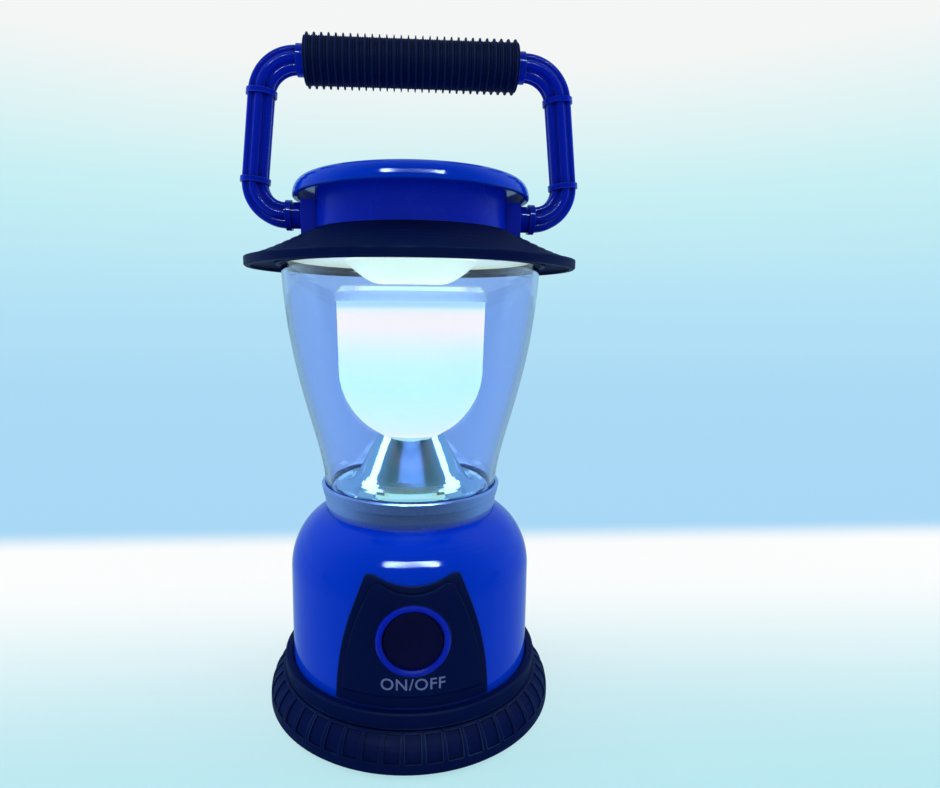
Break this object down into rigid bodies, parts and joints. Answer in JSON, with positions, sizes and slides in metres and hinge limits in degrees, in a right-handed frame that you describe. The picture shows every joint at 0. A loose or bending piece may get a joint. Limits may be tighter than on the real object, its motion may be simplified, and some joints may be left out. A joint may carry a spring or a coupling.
{
  "type": "camping lantern",
  "caption": "Battery camping lantern: twist-off ribbed foot, round base with push button, clear globe over a frosted light cup, wide brim and a folding carry handle.",
  "frame": {"origin": "centre of the foot on the surface it stands on, at the underside of the rubber pads", "axes": "Z is the lantern's axis, upwards; the push button faces -Y; the handle turns about an axis along X"},
  "size_m": [0.131, 0.127, 0.2607],
  "materials": {
    "royal_blue_plastic": "gloss",
    "deep_blue_plastic": "satin",
    "black_plastic": "satin",
    "black_rubber": "matte",
    "silver_plastic": "metallic silver coat",
    "clear_plastic": "clear",
    "frosted_plastic": "frosted",
    "reflector_plastic": "bright vacuum-metallised coat",
    "inner_plastic": "moulded",
    "board_laminate": "glass-fibre laminate",
    "led_board_metal": "white solder mask",
    "led_lens": "silicone",
    "aluminium_sink": "as machined",
    "cell_jacket": "printed sleeve, left plain",
    "steel_hardware": "zinc plated",
    "nickel_contact": "nickel plated",
    "lead_insulation": "silicone"
  },
  "bodies": {
    "lantern_body": {"base_housing": "royal_blue_plastic", "control_panel": "black_plastic", "button_bezel": "deep_blue_plastic", "switch_body": "inner_plastic", "switch_board": "board_laminate", "button_spring": "steel_hardware", "housing_seal": "black_rubber", "contact_carrier": "inner_plastic", "lower_contact": "nickel_contact", "battery_springs": "steel_hardware", "battery_cells": "cell_jacket", "upper_contact": "nickel_contact", "negative_strip": "nickel_contact", "battery_cradle": "inner_plastic", "cradle_screws": "steel_hardware", "driver_board": "board_laminate", "driver_parts": "inner_plastic", "collar_ring": "silver_plastic", "ring_screws": "steel_hardware", "heat_sink": "aluminium_sink", "led_leads": "lead_insulation", "led_board": "led_board_metal", "led_emitter": "led_lens", "reflector_cone": "reflector_plastic", "light_cup": "frosted_plastic", "light_cup_cap": "clear_plastic", "globe": "clear_plastic", "globe_lower_seal": "black_rubber", "globe_upper_seal": "black_rubber", "upper_reflector": "reflector_plastic", "reflector_screws": "steel_hardware", "brim": "black_plastic", "top_housing": "deep_blue_plastic", "neck_screws": "steel_hardware", "cap_lid": "royal_blue_plastic"},
    "battery_cover": {"battery_cover": "black_plastic", "foot_pads": "black_rubber"},
    "button": {"power_button": "black_rubber", "switch_plunger": "inner_plastic"},
    "handle": {"handle_arm_left": "deep_blue_plastic", "handle_arm_right": "deep_blue_plastic", "grip_core": "inner_plastic", "grip_sleeve": "black_rubber", "pivot_washers": "steel_hardware", "pivot_screws": "steel_hardware"}
  },
  "joints": [
    {"name": "handle_swing", "type": "hinge", "parent": "lantern_body", "child": "handle", "pos_m": [0, 0, 0.1945], "axis": [1, 0, 0], "range_deg": [-90, 90]},
    {"name": "button_press", "type": "slide", "parent": "lantern_body", "child": "button", "axis": [0, 1, 0], "range_m": [0, 0.002], "stiffness_N_per_m": 400, "springref_m": -0.002, "deforming": ["button_spring"]},
    {"name": "cover_twist", "type": "hinge", "parent": "lantern_body", "child": "battery_cover", "pos_m": [0, 0, 0], "axis": [0, 0, -1], "range_deg": [0, 30]}
  ]
}
